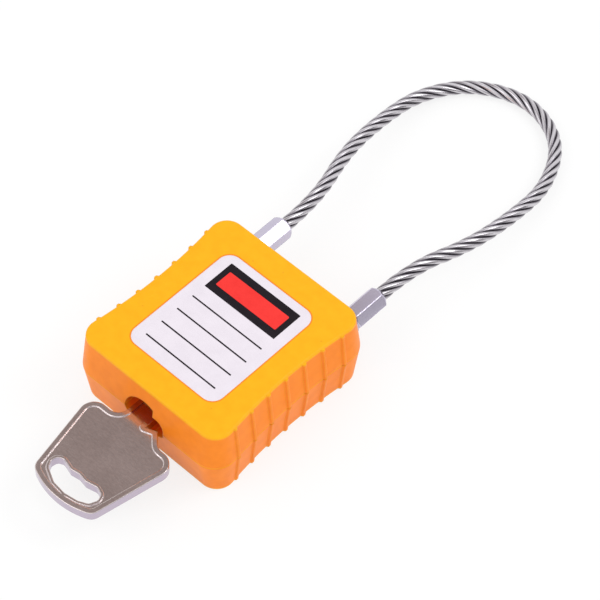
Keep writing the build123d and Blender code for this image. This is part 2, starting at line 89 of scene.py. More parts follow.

# %% [markdown]
# ## The line of the rope
#
# A wire rope is springy, so it stands in one smooth loop, and this one droops until its
# far end rests on the table. A poly-line would show its corners, and a Bezier needs two
# handles at each point, so a NURBS spline does it: a dozen control points pull it into
# one smooth line. It is turned into a plain mesh, which has no thickness, only to read
# evenly spaced points from it.

# %% Read points along the rope
ROPE_DIAMETER = 3.0 * MM
ROPE_STEP = 0.42 * MM        # how far apart the rings of the strands stand
SPLINE_PIECES = 40           # straight pieces between two control points
ROPE_ROUTE = [
    (-13.75, 33.5, 9.5), (-13.75, 43.5, 9.5), (-19.6, 59.5, 7.3), (-21.5, 74.0, 4.9),
    (-21.5, 86.8, 2.6), (-15.1, 98.0, 1.7), (-2.7, 103.3, 1.6), (10.1, 98.5, 1.8),
    (17.0, 85.8, 2.6), (18.1, 72.3, 4.9), (17.5, 58.4, 7.2), (13.75, 44.0, 9.5),
    (13.75, 33.5, 9.5),
]


def spline_points(route):
    """Points along the smooth curve that a list of control points steers."""
    line = bpy.data.curves.new("rope_line", "CURVE")
    line.dimensions = "3D"
    line.resolution_u = SPLINE_PIECES
    spline = line.splines.new("NURBS")
    spline.points.add(len(route) - 1)
    for point, place in zip(spline.points, route):
        point.co = (place[0] * MM, place[1] * MM, place[2] * MM, 1.0)
    spline.order_u = 3
    spline.use_endpoint_u = True
    carrier = bpy.data.objects.new("rope_line", line)
    mesh = bpy.data.meshes.new_from_object(carrier)
    points = [vertex.co.copy() for vertex in mesh.vertices]
    bpy.data.objects.remove(carrier)
    bpy.data.meshes.remove(mesh)
    return points


def even_points(points, step):
    """The same line with points a fixed step apart."""
    lengths = [0.0]
    for before, after in zip(points, points[1:]):
        lengths.append(lengths[-1] + (after - before).length)
    count = round(lengths[-1] / step)
    even = []
    at = 0
    for k in range(count + 1):
        distance = lengths[-1] * k / count
        while at < len(points) - 2 and lengths[at + 1] < distance:
            at += 1
        share = (distance - lengths[at]) / (lengths[at + 1] - lengths[at])
        even.append(points[at].lerp(points[at + 1], share))
    return even, lengths[-1]


rope_line, rope_length = even_points(spline_points(ROPE_ROUTE), ROPE_STEP)
print("rope length", round(rope_length / MM, 1), "mm,", len(rope_line), "points")

# %% [markdown]
# ## The strands
#
# The rope is six strands laid round a core, and each strand is six wires drawn down
# tight on a seventh. Forty-odd separate wires would be heavy, and a bump map would leave
# the outline smooth. A good middle way is one tube for each strand whose section has six
# shallow lobes, one for each outer wire. A new rope measures a few percent over its
# nominal size, and so does this one. Each point also remembers how far it stands from
# the middle of the rope, so that the grooves can be painted dark as painted shade while
# the crests stay bright.

# %% Lay up the rope
STRANDS = 6
WIRES = 6
OVERSIZE = 1.06              # how much a new rope measures over its nominal size
STRAND_RADIUS = OVERSIZE * ROPE_DIAMETER / 6
CORE_RADIUS = 1.05 * STRAND_RADIUS
CORE_SIDES = 12
ROPE_LAY = 20.0 * MM         # length of one turn of a strand round the rope
STRAND_LAY = 46.0 * MM       # length of one turn of a wire round its strand
WIRE_DEPTH = 0.07            # how deep the lines between the wires are, by strand radius
WIRE_SIDES = 4               # points of the section for each wire


def carried_frames(points):
    """A tangent and two normals at each point, carried along without any twist."""
    tangents = []
    for k in range(len(points)):
        ahead = points[min(k + 1, len(points) - 1)] - points[max(k - 1, 0)]
        tangents.append(ahead.normalized())
    side = tangents[0].cross(Vector((0, 0, 1))).normalized()
    frames = []
    for k, tangent in enumerate(tangents):
        if k:
            side = tangents[k - 1].rotation_difference(tangent) @ side
        side = (side - tangent * side.dot(tangent)).normalized()
        frames.append((tangent, side, tangent.cross(side)))
    return frames


def lobed_radius(angle):
    """The radius of a strand at an angle round it: high on a wire, low between two."""
    across = abs(math.cos(angle * WIRES / 2))
    return STRAND_RADIUS * (1 - WIRE_DEPTH * (1 - across)**2)


def add_tube(mesh, height, middle, centres, frames, section, turn_of):
    """Sweep a closed section along the centres; section gives radii by angle."""
    rings = []
    for k, (centre, (_, side, up)) in enumerate(zip(centres, frames)):
        ring = []
        for angle, radius in section:
            a = angle + turn_of(k)
            vertex = mesh.verts.new(centre + (side * math.cos(a) + up * math.sin(a)) * radius)
            vertex[height] = (vertex.co - middle[k]).length
            ring.append(vertex)
        rings.append(ring)
    for before, after in zip(rings, rings[1:]):
        for k in range(len(before)):
            n = (k + 1) % len(before)
            mesh.faces.new((before[k], before[n], after[n], after[k])).smooth = True
    mesh.faces.new(list(reversed(rings[0])))
    mesh.faces.new(rings[-1])


def lay_rope(points):
    """One mesh with the core and the six strands of the rope."""
    mesh = bmesh.new()
    height = mesh.verts.layers.float.new("rope_height")
    frames = carried_frames(points)
    step = rope_length / (len(points) - 1)
    core = [(math.tau * k / CORE_SIDES, CORE_RADIUS) for k in range(CORE_SIDES)]
    add_tube(mesh, height, points, points, frames, core, lambda k: 0.0)
    sides = WIRES * WIRE_SIDES
    section = [(math.tau * k / sides, lobed_radius(math.tau * k / sides)) for k in range(sides)]
    for strand in range(STRANDS):
        centres = []
        for k, (point, (_, side, up)) in enumerate(zip(points, frames)):
            a = math.tau * (strand / STRANDS + k * step / ROPE_LAY)
            centres.append(point + (side * math.cos(a) + up * math.sin(a)) * 2 * STRAND_RADIUS)
        add_tube(mesh, height, points, centres, carried_frames(centres), section,
                 lambda k: math.tau * k * step / STRAND_LAY)
    data = bpy.data.meshes.new("wire_rope_strands")
    mesh.to_mesh(data)
    mesh.free()
    return data


def add_piece(name, data, body):
    """Put a mesh in the scene as a piece that moves with one body of the padlock."""
    piece = bpy.data.objects.new(name, data)
    bpy.context.scene.collection.objects.link(piece)
    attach(piece, body)
    return piece


rope = add_piece("wire_rope_strands", lay_rope(rope_line), "shackle")
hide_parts("wire_rope")
print("rope faces", len(rope.data.polygons))

# %% [markdown]
# ## Helpers for materials
#
# A material is a small network of nodes. The same few steps repeat in every network here:
# a new material with its Principled BSDF, a node with some of its sockets set or linked, a
# sum, a mix of two colours, a stretched range, a bump. Short helpers for these keep each
# recipe as readable as a list.

# %% Helpers that make materials, nodes and groups


def rgb(red, green, blue):
    """A colour socket's value."""
    return (red, green, blue, 1.0)


def new_material(name, **values):
    """A material with one Principled BSDF, and its sockets set by name."""
    material = bpy.data.materials.new(name)
    material.use_nodes = True
    shader = material.node_tree.nodes["Principled BSDF"]
    for socket, value in values.items():
        shader.inputs[socket.replace("_", " ")].default_value = value
    return material, shader


def add_node(tree, kind, inputs=None, **settings):
    """Add a node, set its properties, and set or link its inputs."""
    node = tree.nodes.new(kind)
    for name, value in settings.items():
        setattr(node, name, value)
    for socket, value in (inputs or {}).items():
        if isinstance(value, bpy.types.NodeSocket):
            tree.links.new(value, node.inputs[socket])
        else:
            node.inputs[socket].default_value = value
    return node


def new_group(name, inputs, outputs):
    """An empty shader node group with float or vector sockets."""
    group = bpy.data.node_groups.new(name, "ShaderNodeTree")
    kinds = {float: "NodeSocketFloat", Vector: "NodeSocketVector"}
    for label, value in inputs.items():
        socket = group.interface.new_socket(label, in_out="INPUT", socket_type=kinds[type(value)])
        socket.default_value = value
    for label, kind in outputs.items():
        group.interface.new_socket(label, in_out="OUTPUT", socket_type=kinds[kind])
    return group, add_node(group, "NodeGroupInput"), add_node(group, "NodeGroupOutput")


def use_group(tree, group, **values):
    """Place a group in a material, with its own values."""
    node = add_node(tree, "ShaderNodeGroup", node_tree=group)
    for socket, value in values.items():
        socket = node.inputs[socket.replace("_", " ")]
        if isinstance(value, bpy.types.NodeSocket):
            tree.links.new(value, socket)
        else:
            socket.default_value = value
    return node


print("helpers for materials and groups are ready")

# %% Helpers that work out values and colours


def math_node(tree, operation, first, second=0.5, clamp=False):
    """One Math node; either side may be a number or a socket."""
    return add_node(tree, "ShaderNodeMath", {0: first, 1: second},
                    operation=operation, use_clamp=clamp).outputs[0]


def vector_math(tree, operation, first, second=(0.0, 0.0, 0.0)):
    """One Vector Math node."""
    return add_node(tree, "ShaderNodeVectorMath", {0: first, 1: second}, operation=operation)


def mix_colour(tree, factor, first, second):
    """Mix two colours by a factor."""
    node = add_node(tree, "ShaderNodeMix", {0: factor, 6: first, 7: second}, data_type="RGBA")
    return node.outputs[2]


def map_range(tree, value, low, high, to_low, to_high):
    """Stretch a value from one range to another."""
    return add_node(tree, "ShaderNodeMapRange",
                    {0: value, 1: low, 2: high, 3: to_low, 4: to_high}).outputs[0]


def object_place(tree):
    """The place on the object, in metres."""
    return add_node(tree, "ShaderNodeTexCoord").outputs["Object"]


def bump(tree, height, distance, strength=1.0, normal=None):
    """A bump of a real depth in metres."""
    node = add_node(tree, "ShaderNodeBump",
                    {"Height": height, "Distance": distance, "Strength": strength})
    if normal is not None:
        tree.links.new(normal, node.inputs["Normal"])
    return node.outputs[0]


print("helpers for values and colours are ready")

# %% [markdown]
# ## Effects that several finishes share
#
# Plastic and vinyl have a fine grain, metals have streaks from brushing or turning, edges
# are rubbed and also carry a painted highlight, and hands leave faint marks. Each effect is
# a node group, built once and placed in each material with its own values. A group gives
# out masks, heights and normals only, and the shader stays in the material, so that every
# material still shows how its surface is lit.

# %% A fine grain, as spark erosion leaves on a mould
COARSE_SCALE = 0.12          # the coarse grain's scale, by the fine one's


def grain_group():
    """Two sizes of rounded grain."""
    group, given, result = new_group(
        "fine_grain", {"Size": 0.25 * MM, "Unevenness": 0.5}, {"Height": float})
    place = object_place(group)
    scale = math_node(group, "DIVIDE", 1.0, given.outputs["Size"])
    fine = add_node(group, "ShaderNodeTexNoise", {"Vector": place, "Scale": scale, "Detail": 2.0})
    coarse_scale = math_node(group, "MULTIPLY", scale, COARSE_SCALE)
    coarse = add_node(group, "ShaderNodeTexNoise",
                      {"Vector": place, "Scale": coarse_scale, "Detail": 1.0})
    uneven = math_node(group, "MULTIPLY", coarse.outputs[0], given.outputs["Unevenness"])
    height = math_node(group, "ADD", fine.outputs[0], uneven)
    group.links.new(height, result.inputs["Height"])
    return group


fine_grain = grain_group()
print("group", fine_grain.name)

# %% Rubbed edges, and where a painted highlight goes
EDGE_FROM, EDGE_TO = 0.995, 0.85     # dot product of both normals where the mask is 0 and 1


def edge_group():
    """A mask that is 1 on sharp edges, for rubbed wear and a painted highlight, and the normal of
    a slightly rounded edge.
    """
    group, given, result = new_group(
        "rubbed_and_lit_edges", {"Width": 0.25 * MM, "Breakup": 0.4},
        {"Mask": float, "Normal": Vector})
    rounded = add_node(group, "ShaderNodeBevel", {"Radius": given.outputs["Width"]}, samples=6)
    true_normal = add_node(group, "ShaderNodeNewGeometry").outputs["True Normal"]
    facing = vector_math(group, "DOT_PRODUCT", rounded.outputs[0], true_normal)
    bent = map_range(group, facing.outputs["Value"], EDGE_FROM, EDGE_TO, 0.0, 1.0)
    patches = add_node(group, "ShaderNodeTexNoise",
                       {"Vector": object_place(group), "Scale": 700.0, "Detail": 3.0})
    broken = math_node(group, "MULTIPLY", patches.outputs[0], given.outputs["Breakup"])
    mask = math_node(group, "SUBTRACT", bent, broken, clamp=True)
    group.links.new(mask, result.inputs["Mask"])
    group.links.new(rounded.outputs[0], result.inputs["Normal"])
    return group


rubbed_and_lit_edges = edge_group()
print("group", rubbed_and_lit_edges.name)

# %% Brushed metal
CLOUD_SHARE = 0.45           # how much of the tone is a soft cloud, and not a streak


def brushed_group():
    """Fine parallel streaks; Stretch is large across the streaks and small along them."""
    group, given, result = new_group(
        "brushed_streaks", {"Stretch": Vector((9000.0, 220.0, 9000.0))},
        {"Height": float, "Tone": float})
    place = vector_math(group, "MULTIPLY", object_place(group), given.outputs["Stretch"])
    streaks = add_node(group, "ShaderNodeTexNoise",
                       {"Vector": place.outputs[0], "Scale": 1.0, "Detail": 2.0})
    cloud = add_node(group, "ShaderNodeTexNoise",
                     {"Vector": object_place(group), "Scale": 160.0, "Detail": 2.0})
    group.links.new(streaks.outputs[0], result.inputs["Height"])
    tone = add_node(group, "ShaderNodeMix",
                    {0: CLOUD_SHARE, 2: streaks.outputs[0], 3: cloud.outputs[0]})
    group.links.new(tone.outputs[0], result.inputs["Tone"])
    return group


brushed_streaks = brushed_group()
print("group", brushed_streaks.name)

# %% Marks from handling
SCRATCHES = ((25.0, 2600.0), (-55.0, 3400.0))   # degrees of turn, and how thin the lines are


def marks_group():
    """Thin scratches that cross each other, and soft smudges."""
    group, given, result = new_group(
        "handling_marks", {"Amount": 0.5}, {"Scratch": float, "Smudge": float})
    place = object_place(group)
    scratches = []
    for turn, stretch in SCRATCHES:
        turned = add_node(group, "ShaderNodeMapping", {
            "Vector": place, "Rotation": (0.0, 0.0, math.radians(turn)),
            "Scale": (stretch, 90.0, 400.0)})
        lines = add_node(group, "ShaderNodeTexNoise",
                         {"Vector": turned.outputs[0], "Scale": 1.0, "Detail": 0.0})
        scratches.append(map_range(group, lines.outputs[0], 0.72, 0.80, 0.0, 1.0))
    either = math_node(group, "MAXIMUM", *scratches)
    scratch = math_node(group, "MULTIPLY", either, given.outputs["Amount"])
    cloud = add_node(group, "ShaderNodeTexNoise", {"Vector": place, "Scale": 110.0, "Detail": 4.0})
    smudge = math_node(group, "MULTIPLY", map_range(group, cloud.outputs[0], 0.4, 0.7, 0.0, 1.0),
                       given.outputs["Amount"])
    group.links.new(scratch, result.inputs["Scratch"])
    group.links.new(smudge, result.inputs["Smudge"])
    return group


handling_marks = marks_group()
print("group", handling_marks.name)

# %% [markdown]
# ## The casing
#
# Glass-filled nylon comes out of the mould matt, with a fine even grain. It isn't one
# flat colour here: the two broad faces are painted a lighter yellow and the sides a deeper
# orange, as lit and shaded copies of one plastic, and the mouth and the edge of the label's
# recess are painted a deeper red and orange as painted shade. Corners and ribs are painted
# lighter, partly as rubbed wear and partly as a painted highlight, the line where the shells
# meet carries a painted highlight, and a few specks of regrind show. Painted vertex colours
# would be only as sharp as the mesh, so masks made from the place on the casing choose the
# colour. The grain drives a bump of a few hundredths of a millimetre.

# %% Where the casing changes colour
CASING_HALF = (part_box("front_shell")[1][2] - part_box("back_shell")[0][2]) / 2
# painted shade: the mouth is painted a deeper red, fading in from its opening
MOUTH_RADIUS = 5.9 * MM
MOUTH_SOFTNESS = 0.3 * MM    # how softly the red of the mouth ends at its wall
MOUTH_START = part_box("front_shell")[0][1] + 0.5 * MM
MOUTH_FADE = 1.2 * MM        # how far in from there the red is full
HALF_FADE = 1.0 * MM         # how far past the middle of the casing the red is gone
LABEL_LOW, LABEL_HIGH = [Vector(corner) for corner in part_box("front_label")]
LABEL_CORNER = 2.9 * MM
# painted shade on the edge of the label's recess
RECESS_LINE = (0.22 * MM, 0.36 * MM)    # the line round the label fades out between these
FACE_FADE = (0.9 * MM, 0.4 * MM)        # how far under a face the yellow begins and is full
# the line between the shells carries a painted highlight
SPLIT_HIGHLIGHT = (0.06 * MM, 0.18 * MM)     # the line between the shells fades out here


def mouth_shade_mask(tree, place):
    """1 inside the mouth, where it is painted with shade; the mouth runs into the casing round its
    middle line.
    """
    x, y, z = add_node(tree, "ShaderNodeSeparateXYZ", {0: place}).outputs
    across = add_node(tree, "ShaderNodeCombineXYZ",
                      {0: x, 2: math_node(tree, "SUBTRACT", z, CASING_HALF)}).outputs[0]
    radius = vector_math(tree, "LENGTH", across).outputs["Value"]
    near = map_range(tree, radius, MOUTH_RADIUS - MOUTH_SOFTNESS, MOUTH_RADIUS, 1.0, 0.0)
    deep = map_range(tree, y, MOUTH_START, MOUTH_START + MOUTH_FADE, 0.0, 1.0)
    key_half = map_range(tree, y, 0.0, HALF_FADE, 1.0, 0.0)
    return math_node(tree, "MULTIPLY", near, math_node(tree, "MULTIPLY", deep, key_half))


def recess_shade_mask(tree, place):
    """1 on a thin line of painted shade round the label, from the distance to a rounded rectangle.
    """
    centre, half = (LABEL_LOW + LABEL_HIGH) / 2, (LABEL_HIGH - LABEL_LOW) / 2
    inner = (half.x - LABEL_CORNER, half.y - LABEL_CORNER, 1.0)
    away = vector_math(tree, "ABSOLUTE", vector_math(tree, "SUBTRACT", place, centre).outputs[0])
    past = vector_math(tree, "SUBTRACT", away.outputs[0], inner)
    corner = vector_math(tree, "MAXIMUM", past.outputs[0])
    distance = vector_math(tree, "LENGTH", corner.outputs[0]).outputs["Value"]
    low, high = (LABEL_CORNER + past_label for past_label in RECESS_LINE)
    return map_range(tree, distance, low, high, 1.0, 0.0)


def lit_face_mask(tree, from_split):
    """1 on the two broad faces, which are painted lighter as lit, from the height over the line
    where the shells meet.
    """
    low, high = (CASING_HALF - under_face for under_face in FACE_FADE)
    return map_range(tree, from_split, low, high, 0.0, 1.0)


print("casing half thickness", round(CASING_HALF / MM, 2), "mm")

# %% Moulded nylon
NYLON_MATT, NYLON_POLISHED = 0.42, 0.32
# the broad faces' yellow is painted light and the sides' deeper orange is painted shade: lit and
# shaded copies of one plastic
SHADED_SIDE_ORANGE = (rgb(0.91, 0.230, 0.005), rgb(0.96, 0.255, 0.008))
LIT_FACE_YELLOW = (rgb(0.93, 0.425, 0.002), rgb(0.96, 0.455, 0.004))
RECESS_SHADE_ORANGE = rgb(0.95, 0.24, 0.01)
MOUTH_SHADE_RED = rgb(0.92, 0.10, 0.001)
# lighter edges: partly rubbed wear and partly a painted highlight on corners and ribs
WEAR_AND_HIGHLIGHT_ORANGE = rgb(1.0, 0.44, 0.01)
WEAR_AND_HIGHLIGHT_SHARE = 0.8           # how far a rubbed edge takes that colour
REGRIND_BROWN = rgb(0.72, 0.27, 0.01)
REGRIND_SCALE = 260.0        # specks of regrind to the metre
REGRIND_SIZE = (0.03, 0.07)  # a speck fades out between these, by the space between two
REGRIND_SHARE = 0.45


def nylon_colour(tree, edge_wear_and_highlight):
    """Orange sides and yellow faces as painted shade and light, painted shade in the mouth and
    round the label, lighter edges that are wear and a painted highlight, and specks of regrind.
    """
    mottle = add_node(tree, "ShaderNodeTexNoise",
                      {"Vector": object_place(tree), "Scale": 420.0, "Detail": 3.0})
    drift = map_range(tree, mottle.outputs[0], 0.35, 0.65, 0.0, 1.0)
    place = object_place(tree)
    rise = add_node(tree, "ShaderNodeSeparateXYZ", {0: place}).outputs[2]
    from_split = math_node(tree, "ABSOLUTE", math_node(tree, "SUBTRACT", rise, CASING_HALF))
    # painted light and shade: yellower broad faces, deeper orange sides
    base = mix_colour(tree, lit_face_mask(tree, from_split),
                      mix_colour(tree, drift, *SHADED_SIDE_ORANGE), mix_colour(tree, drift, *LIT_FACE_YELLOW))
    # painted shade on the edge of the label's recess
    base = mix_colour(tree, recess_shade_mask(tree, place), base, RECESS_SHADE_ORANGE)
    # painted shade in the mouth
    base = mix_colour(tree, mouth_shade_mask(tree, place), base, MOUTH_SHADE_RED)
    # painted highlight along the line between the shells, joined with the edges, which are partly
    # wear and partly painted highlight
    split_highlight = map_range(tree, from_split, *SPLIT_HIGHLIGHT, 1.0, 0.0)
    wear_and_highlight = math_node(tree, "MAXIMUM", edge_wear_and_highlight, split_highlight)
    rubbed_and_highlit = mix_colour(tree, math_node(tree, "MULTIPLY", wear_and_highlight, WEAR_AND_HIGHLIGHT_SHARE),
                        base, WEAR_AND_HIGHLIGHT_ORANGE)
    specks = add_node(tree, "ShaderNodeTexVoronoi", {"Vector": place, "Scale": REGRIND_SCALE})
    speck = map_range(tree, specks.outputs["Distance"], *REGRIND_SIZE, REGRIND_SHARE, 0.0)
    return mix_colour(tree, speck, rubbed_and_highlit, REGRIND_BROWN)


def moulded_nylon():
    """The orange-yellow plastic of both shells."""
    material, shader = new_material("moulded_nylon", Roughness=NYLON_MATT, IOR=1.5,
                                    Specular_IOR_Level=0.22)
    tree = material.node_tree
    grain = use_group(tree, fine_grain, Size=0.22 * MM, Unevenness=0.8)
    edges = use_group(tree, rubbed_and_lit_edges, Width=0.35 * MM, Breakup=0.3)
    marks = use_group(tree, handling_marks, Amount=0.35)
    tree.links.new(nylon_colour(tree, edges.outputs["Mask"]), shader.inputs["Base Color"])
    rough = add_node(tree, "ShaderNodeMix",
                     {0: marks.outputs["Smudge"], 2: NYLON_MATT, 3: NYLON_POLISHED})
    tree.links.new(rough.outputs[0], shader.inputs["Roughness"])
    normal = bump(tree, grain.outputs["Height"], 0.020 * MM, 0.8, edges.outputs["Normal"])
    tree.links.new(normal, shader.inputs["Normal"])
    return material


casing_plastic = moulded_nylon()
print("material", casing_plastic.name)

# %% Paint the casing


def paint(material, *names):
    """Give CAD nodes one material."""
    for name in names:
        data = nodes[name].data
        data.materials.clear()
        data.materials.append(material)


paint(casing_plastic, "front_shell", "back_shell")
print("painted the casing")

# %% [markdown]
# ## The label
#
# A vinyl label is faintly uneven under a thin gloss layer. Its print is ink a few
# hundredths of a millimetre thick. A pattern in the material would blur at the edges of
# the print, so each printed mark is a thin mesh of its own, and it stands on the label
# as ink does. The label is a plain one to write on: a dark band with a red bar at its
# head, and ruled lines for a name and a date.

# %% White vinyl and two inks
SMUDGE_GLOSS = 0.1           # how much a smudge takes off the roughness of vinyl and ink


def printed_vinyl(name, light, dark, roughness, specular=0.4):
    """Vinyl or ink: one tone that drifts a little, with a faint orange-peel bump."""
    material, shader = new_material(name, Roughness=roughness, IOR=1.5,
                                    Specular_IOR_Level=specular)
    tree = material.node_tree
    grain = use_group(tree, fine_grain, Size=0.3 * MM, Unevenness=1.2)
    marks = use_group(tree, handling_marks, Amount=0.5)
    tone = map_range(tree, grain.outputs["Height"], 0.6, 1.4, 0.0, 1.0)
    tree.links.new(mix_colour(tree, tone, dark, light), shader.inputs["Base Color"])
    rough = math_node(tree, "SUBTRACT", roughness,
                      math_node(tree, "MULTIPLY", marks.outputs["Smudge"], SMUDGE_GLOSS))
    tree.links.new(rough, shader.inputs["Roughness"])
    tree.links.new(bump(tree, grain.outputs["Height"], 0.004 * MM), shader.inputs["Normal"])
    return material


vinyl = printed_vinyl("white_vinyl", rgb(0.82, 0.76, 0.83), rgb(0.77, 0.71, 0.78),
                      roughness=0.40)
black_ink = printed_vinyl("black_ink", rgb(0.017, 0.012, 0.017), rgb(0.010, 0.007, 0.010),
                          roughness=0.5, specular=0.1)
red_ink = printed_vinyl("red_ink", rgb(0.92, 0.040, 0.034), rgb(0.84, 0.030, 0.026),
                        roughness=0.45, specular=0.2)
paint(vinyl, "front_label")
print("painted the label")

# %% Print the label
INK = 0.02 * MM              # thickness of one layer of ink
LABEL_TOP = LABEL_HIGH.z
LABEL_MIDDLE = (LABEL_LOW + LABEL_HIGH) / 2


def rounded_rectangle(width, height, radius, steps=6):
    """The corners of a rounded rectangle, anticlockwise."""
    points = []
    for k, (sx, sy) in enumerate(((1, 1), (-1, 1), (-1, -1), (1, -1))):
        for step in range(steps + 1):
            a = math.radians(90 * k + 90 * step / steps)
            points.append((sx * (width / 2 - radius) + radius * math.cos(a),
                           sy * (height / 2 - radius) + radius * math.sin(a)))
    return points


def print_mark(name, up, width, height, radius, ink, layer=1):
    """One printed mark on the label, placed up or down from the label's middle."""
    mesh = bmesh.new()
    centre = Vector((LABEL_MIDDLE.x, LABEL_MIDDLE.y + up, 0))
    outline = rounded_rectangle(width, height, radius)
    low, high = LABEL_TOP - INK, LABEL_TOP + layer * INK
    bottom = [mesh.verts.new(centre + Vector((x, y, low))) for x, y in outline]
    top = [mesh.verts.new(centre + Vector((x, y, high))) for x, y in outline]
    mesh.faces.new(list(reversed(bottom)))
    mesh.faces.new(top)
    for k in range(len(outline)):
        n = (k + 1) % len(outline)
        mesh.faces.new((bottom[k], bottom[n], top[n], top[k]))
    data = bpy.data.meshes.new(name)
    mesh.to_mesh(data)
    mesh.free()
    data.materials.append(ink)
    piece = add_piece(name, data, "casing")


BAND = (19.8 * MM, 8.1 * MM)
BAR = (17.0 * MM, 4.4 * MM)
BAND_UP = 9.2 * MM
LINE_UPS = (1.6, -2.9, -7.4, -11.9)
LINE_WIDTH = 0.35 * MM
print_mark("label_band", BAND_UP, *BAND, 0.15 * MM, black_ink)
print_mark("label_bar", BAND_UP, *BAR, 0.3 * MM, red_ink, layer=2)
for number, up in enumerate(LINE_UPS):
    print_mark(f"label_line_{number + 1}", up * MM, BAND[0], LINE_WIDTH, 0.1 * MM, black_ink)
print("printed", 2 + len(LINE_UPS), "marks")

# %% [markdown]
# ## The metals
#
# The rope is bright drawn stainless wire, with painted shade darkening the grooves between
# its wires. The studs are turned steel with a thin bright plating, and the key is
# nickel-plated, with a cooler tint painted on its upright sides as a painted reflection.
# Edges are painted brighter, partly as rubbed wear and partly as a painted highlight. Inside
# there are brass, cast zinc and ground steel. A metal could be told apart by an image of
# scratches, but an image blurs close up. All of these are fully metallic instead, and what
# tells them apart is their tint, their roughness and which way their streaks run.

# %% Bright wire for the rope
GROOVE_HEIGHT = 2.52 * STRAND_RADIUS
CREST_HEIGHT = 2.98 * STRAND_RADIUS
# the dark groove tint is painted shade between the wires; the crest tint is the wire's own colour
GROOVE_SHADE_TINT, CREST_TINT = rgb(0.13, 0.117, 0.14), rgb(0.70, 0.675, 0.71)
GROOVE_ROUGH, CREST_ROUGH = 0.45, 0.22


def bright_wire():
    """Drawn wire, painted dark with shade in the grooves; how far its surface stands from the
    rope's middle comes with the mesh.
    """
    material, shader = new_material("bright_wire", Metallic=1.0)
    tree = material.node_tree
    height = add_node(tree, "ShaderNodeAttribute", attribute_name="rope_height").outputs["Fac"]
    crest = map_range(tree, height, GROOVE_HEIGHT, CREST_HEIGHT, 0.0, 1.0)
    cloud = add_node(tree, "ShaderNodeTexNoise",
                     {"Vector": object_place(tree), "Scale": 500.0, "Detail": 3.0})
    dull = map_range(tree, cloud.outputs[0], 0.3, 0.7, 0.85, 1.0)
    tone = math_node(tree, "MULTIPLY", crest, dull)
    colour = mix_colour(tree, tone, GROOVE_SHADE_TINT, CREST_TINT)
    tree.links.new(colour, shader.inputs["Base Color"])
    rough = map_range(tree, tone, 0.0, 1.0, GROOVE_ROUGH, CREST_ROUGH)
    tree.links.new(rough, shader.inputs["Roughness"])
    return material


rope.data.materials.append(bright_wire())
print("painted the rope")

# %% Turned, brushed and cast metals
# metal edges are painted brighter: partly rubbed wear, partly a painted highlight
EDGE_HIGHLIGHT = 1.42         # how much brighter a rubbed edge is than the metal
SMUDGE_ROUGH = 0.08          # how much a smudge adds to the roughness


def worked_metal(name, light, dark, roughness, stretch, depth, edge, handled=0.3, side_reflection_tint=None):
    """A metal with streaks one way, edges painted brighter as rubbed wear and a painted highlight,
    and marks; an optional tint is painted on the upright faces as a painted reflection.
    """
    material, shader = new_material(name, Metallic=1.0)
    tree = material.node_tree
    streaks = use_group(tree, brushed_streaks, Stretch=stretch)
    edges = use_group(tree, rubbed_and_lit_edges, Width=edge, Breakup=0.3)
    marks = use_group(tree, handling_marks, Amount=handled)
    tone = map_range(tree, streaks.outputs["Tone"], 0.35, 0.65, 0.0, 1.0)
    base = mix_colour(tree, tone, dark, light)
    # painted reflection: the upright faces take a cooler tint
    if side_reflection_tint:
        facing = add_node(tree, "ShaderNodeTexCoord").outputs["Normal"]
        upright = add_node(tree, "ShaderNodeSeparateXYZ", {0: facing}).outputs[2]
        side = map_range(tree, math_node(tree, "ABSOLUTE", upright), 0.2, 0.5, 1.0, 0.0)
        base = mix_colour(tree, side, base, side_reflection_tint)
    # painted highlight on the edges, partly rubbed wear
    edge_highlight = rgb(*(min(1.0, EDGE_HIGHLIGHT * part) for part in light[:3]))
    colour = mix_colour(tree, edges.outputs["Mask"], base, edge_highlight)
    tree.links.new(colour, shader.inputs["Base Color"])
    smudge = math_node(tree, "MULTIPLY", marks.outputs["Smudge"], SMUDGE_ROUGH)
    tree.links.new(math_node(tree, "ADD", roughness, smudge), shader.inputs["Roughness"])
    height = math_node(tree, "SUBTRACT", streaks.outputs["Height"], marks.outputs["Scratch"])
    normal = bump(tree, height, depth, 0.5, edges.outputs["Normal"])
    tree.links.new(normal, shader.inputs["Normal"])
    return material


ALONG_Y = (7000.0, 160.0, 7000.0)
ALONG_X = (1100.0, 2600.0, 2600.0)
ROUND_Y = (300.0, 9000.0, 300.0)
NO_WAY = (900.0, 900.0, 900.0)
plated_stud = worked_metal(
    "plated_stud", rgb(0.61, 0.57, 0.69), rgb(0.55, 0.51, 0.63),
    roughness=0.24, stretch=ALONG_Y, depth=0.004 * MM, edge=0.4 * MM)
nickel_key = worked_metal(
    "nickel_key", rgb(0.68, 0.60, 0.59), rgb(0.56, 0.49, 0.48),
    roughness=0.15, stretch=ALONG_X, depth=0.003 * MM, edge=0.24 * MM,
    handled=0.5, side_reflection_tint=rgb(0.54, 0.465, 0.56))
machined_brass = worked_metal(
    "machined_brass", rgb(0.76, 0.56, 0.27), rgb(0.66, 0.47, 0.21),
    roughness=0.3, stretch=ROUND_Y, depth=0.004 * MM, edge=0.12 * MM)
cast_zinc = worked_metal(
    "cast_zinc", rgb(0.52, 0.52, 0.54), rgb(0.42, 0.42, 0.44),
    roughness=0.5, stretch=NO_WAY, depth=0.012 * MM, edge=0.15 * MM)
ground_steel = worked_metal(
    "ground_steel", rgb(0.62, 0.62, 0.63), rgb(0.52, 0.52, 0.53),
    roughness=0.28, stretch=ROUND_Y, depth=0.003 * MM, edge=0.1 * MM)
print("made five worked metals")

